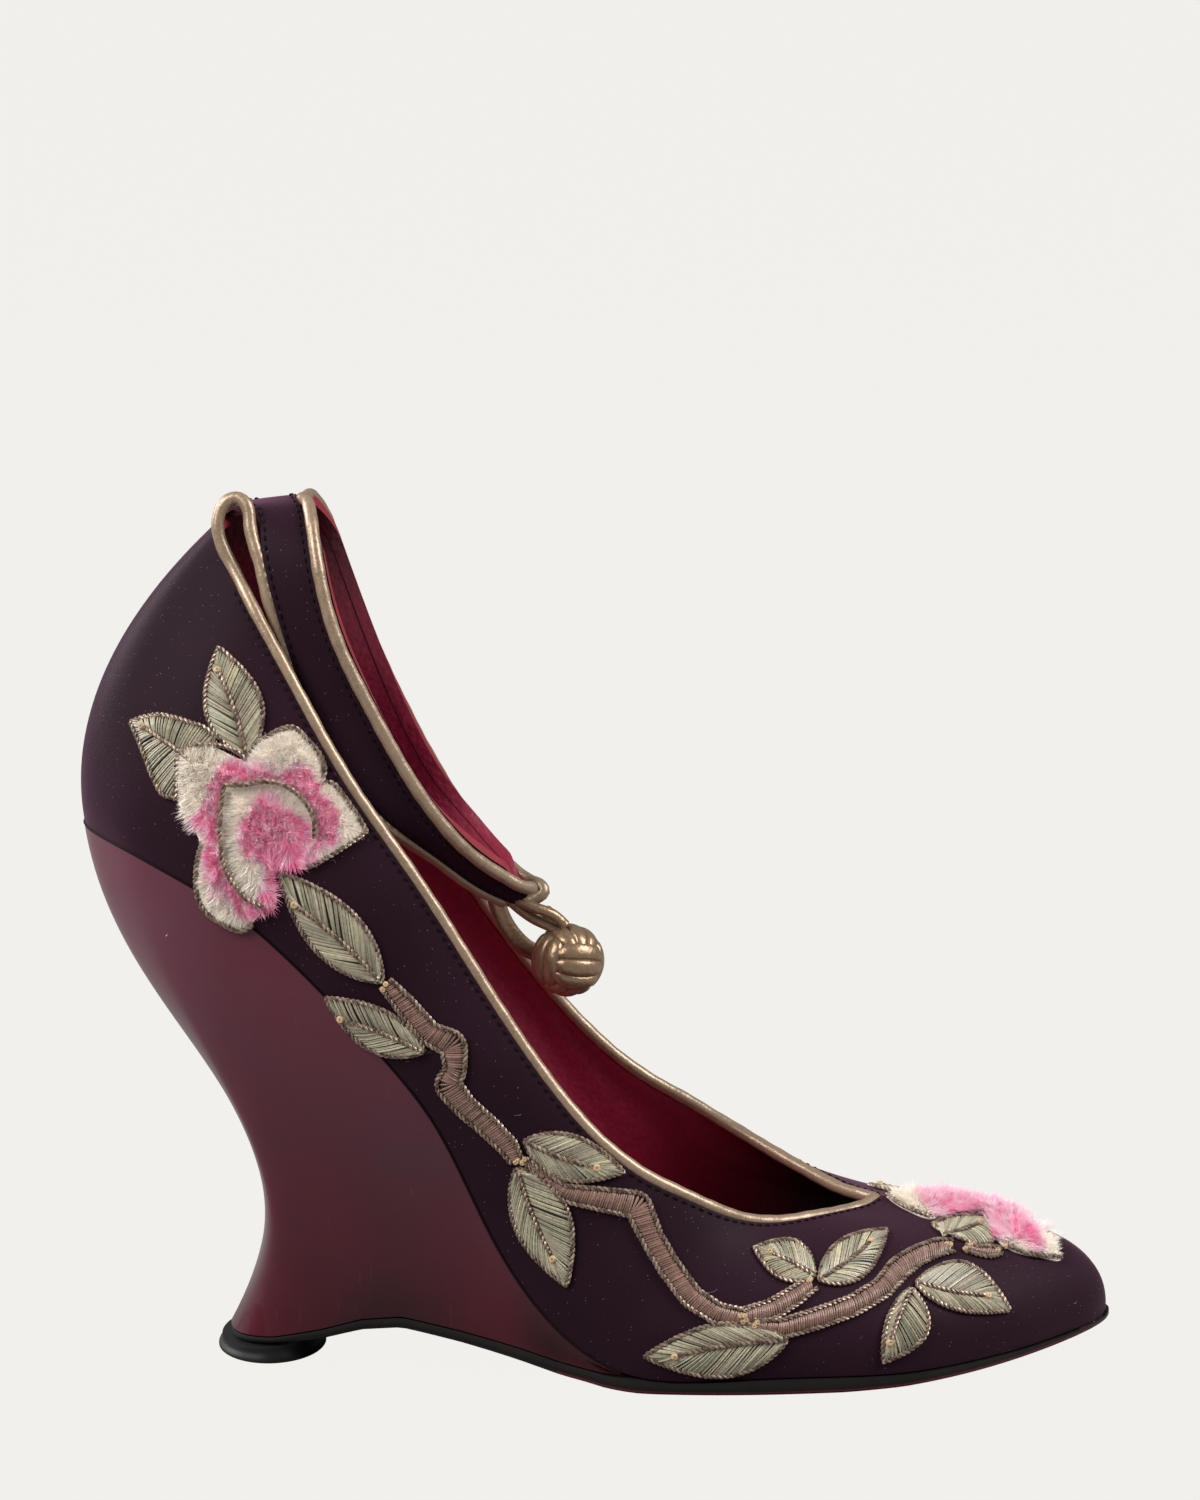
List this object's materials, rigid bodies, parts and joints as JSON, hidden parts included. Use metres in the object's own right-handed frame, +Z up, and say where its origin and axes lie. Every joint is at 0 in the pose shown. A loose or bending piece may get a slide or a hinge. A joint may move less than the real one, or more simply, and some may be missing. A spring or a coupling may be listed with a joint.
{
  "type": "embroidered wedge pump",
  "caption": "Women's satin pump on a high curved wedge heel, with an ankle strap, piped topline and raised floral embroidery.",
  "frame": {"origin": "on the floor, under the middle of the shoe's box", "axes": "+X to the toe, -Y to the outer side of the foot, +Z up"},
  "size_m": [0.208, 0.0798, 0.1747],
  "materials": {
    "satin": "dark aubergine satin with a soft sheen",
    "lacquer": "glossy burgundy lacquer",
    "sole_edge": "black painted edge, burgundy underside",
    "rubber": "black rubber",
    "lining": "burgundy kid leather",
    "gold": "champagne gold metallic leather",
    "pile": "cut silk pile, cream shading to pink",
    "leaf": "sage satin stitch with a couched metal cord",
    "twig": "taupe satin stitch with a couched metal cord"
  },
  "bodies": {
    "root": {"upper": "satin", "wedge": "lacquer", "outsole": "sole_edge", "top_lift": "rubber", "insole": "lining", "strap": "satin", "collar_piping": "gold", "strap_piping": "gold", "knot_button": "gold", "button_stem": "gold", "button_loop": "gold", "heel_flower": "pile", "toe_flower": "pile", "leaf_heel_top": "leaf", "leaf_heel_back": "leaf", "leaf_quarter": "leaf", "leaf_seam": "leaf", "leaf_waist_front": "leaf", "leaf_waist_low": "leaf", "leaf_fork_back": "leaf", "leaf_fork_front": "leaf", "leaf_sole": "leaf", "leaf_toe_front": "leaf", "leaf_toe_low": "leaf", "leaf_toe_bud": "leaf", "leaf_throat_inner": "leaf", "twig_waist": "twig", "twig_vamp": "twig", "twig_fork": "twig", "twig_toe": "twig", "bract_toe": "twig"}
  },
  "joints": []
}
